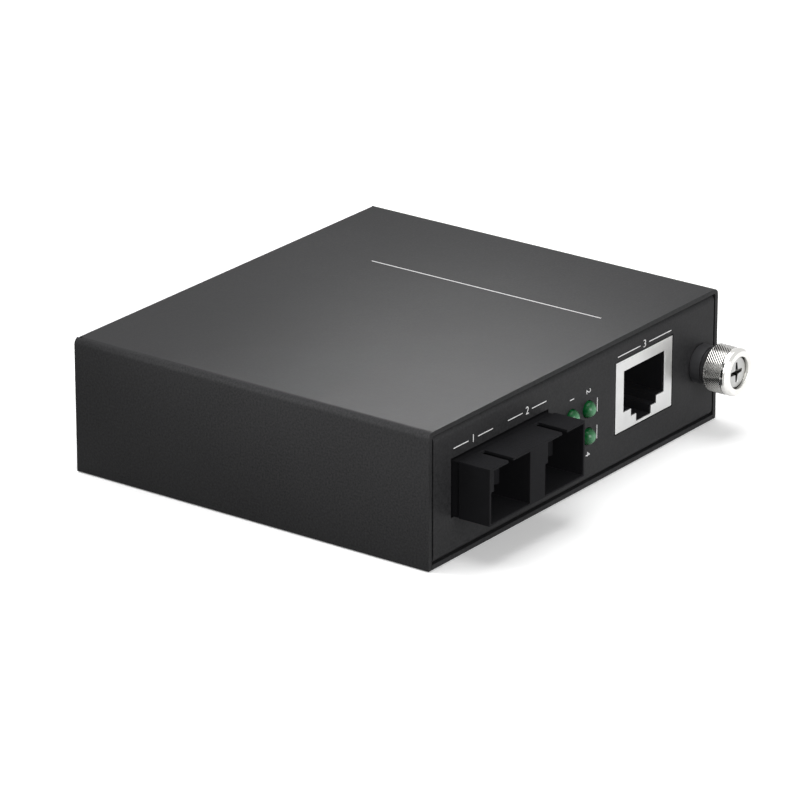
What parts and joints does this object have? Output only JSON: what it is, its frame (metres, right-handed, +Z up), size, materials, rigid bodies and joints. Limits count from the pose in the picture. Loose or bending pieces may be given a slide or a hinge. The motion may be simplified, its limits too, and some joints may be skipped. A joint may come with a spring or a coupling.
{
  "type": "fibre media converter",
  "caption": "Slide-in fibre media converter in a folded black steel case, with a duplex fibre receptacle, a copper network jack, indicator lamps and a captive thumbscrew.",
  "frame": {"origin": "centre of the case's underside", "axes": "+Z up, front panel faces -Y, +X to the right as one looks at the front panel"},
  "size_m": [0.0816, 0.0809, 0.0232],
  "materials": {
    "powder_coated_steel": "fine-textured matte powder coat",
    "black_screw_steel": "black oxide",
    "zinc_plated_steel": "bright zinc",
    "nickel_plate": "bright nickel",
    "stainless_steel": "turned",
    "gold_plate": "gold flash",
    "black_moulding": "fine spark-eroded texture",
    "chip_epoxy": "matte",
    "green_lens": "tinted, diffused",
    "circuit_laminate": "solder mask",
    "black_anodised": "black anodised"
  },
  "bodies": {
    "chassis": {"base": "powder_coated_steel", "circuit_board": "circuit_laminate", "cover": "powder_coated_steel", "cover_screws": "black_screw_steel", "crystal": "zinc_plated_steel", "fibre_receptacle": "black_moulding", "front_panel": "powder_coated_steel", "inductor": "chip_epoxy", "input_capacitor": "chip_epoxy", "jack_contacts": "gold_plate", "jack_insert": "black_moulding", "jack_shield": "nickel_plate", "lan_transformer": "chip_epoxy", "latch_left": "black_moulding", "latch_right": "black_moulding", "led_holder": "black_moulding", "led_leads": "gold_plate", "led_lower_left": "green_lens", "led_lower_right": "green_lens", "led_upper_left": "green_lens", "led_upper_right": "green_lens", "link_header": "black_moulding", "link_pins": "gold_plate", "management_chip": "chip_epoxy", "memory_chip": "chip_epoxy", "power_jack": "black_moulding", "power_pin": "stainless_steel", "receiver_barrel": "stainless_steel", "regulator": "chip_epoxy", "standoffs": "zinc_plated_steel", "switch_chip": "chip_epoxy", "thumbscrew_collar": "black_anodised", "thumbscrew_spring": "zinc_plated_steel", "transceiver_board": "circuit_laminate", "transceiver_lid": "black_moulding", "transceiver_pins": "gold_plate", "transmitter_barrel": "stainless_steel"},
    "clip": {"thumbscrew_clip": "zinc_plated_steel"},
    "thumbscrew": {"thumbscrew_knob": "nickel_plate", "thumbscrew_screw": "nickel_plate"}
  },
  "joints": [
    {"name": "thumbscrew_push", "type": "slide", "parent": "chassis", "child": "clip", "axis": [0, 1, 0], "range_m": [0, 0.0024], "stiffness_N_per_m": 400, "springref_m": -0.0025, "deforming": ["thumbscrew_spring"]},
    {"name": "thumbscrew_turn", "type": "hinge", "parent": "clip", "child": "thumbscrew", "pos_m": [0.0356, 0, 0.0114], "axis": [0, 1, 0], "continuous": true}
  ]
}
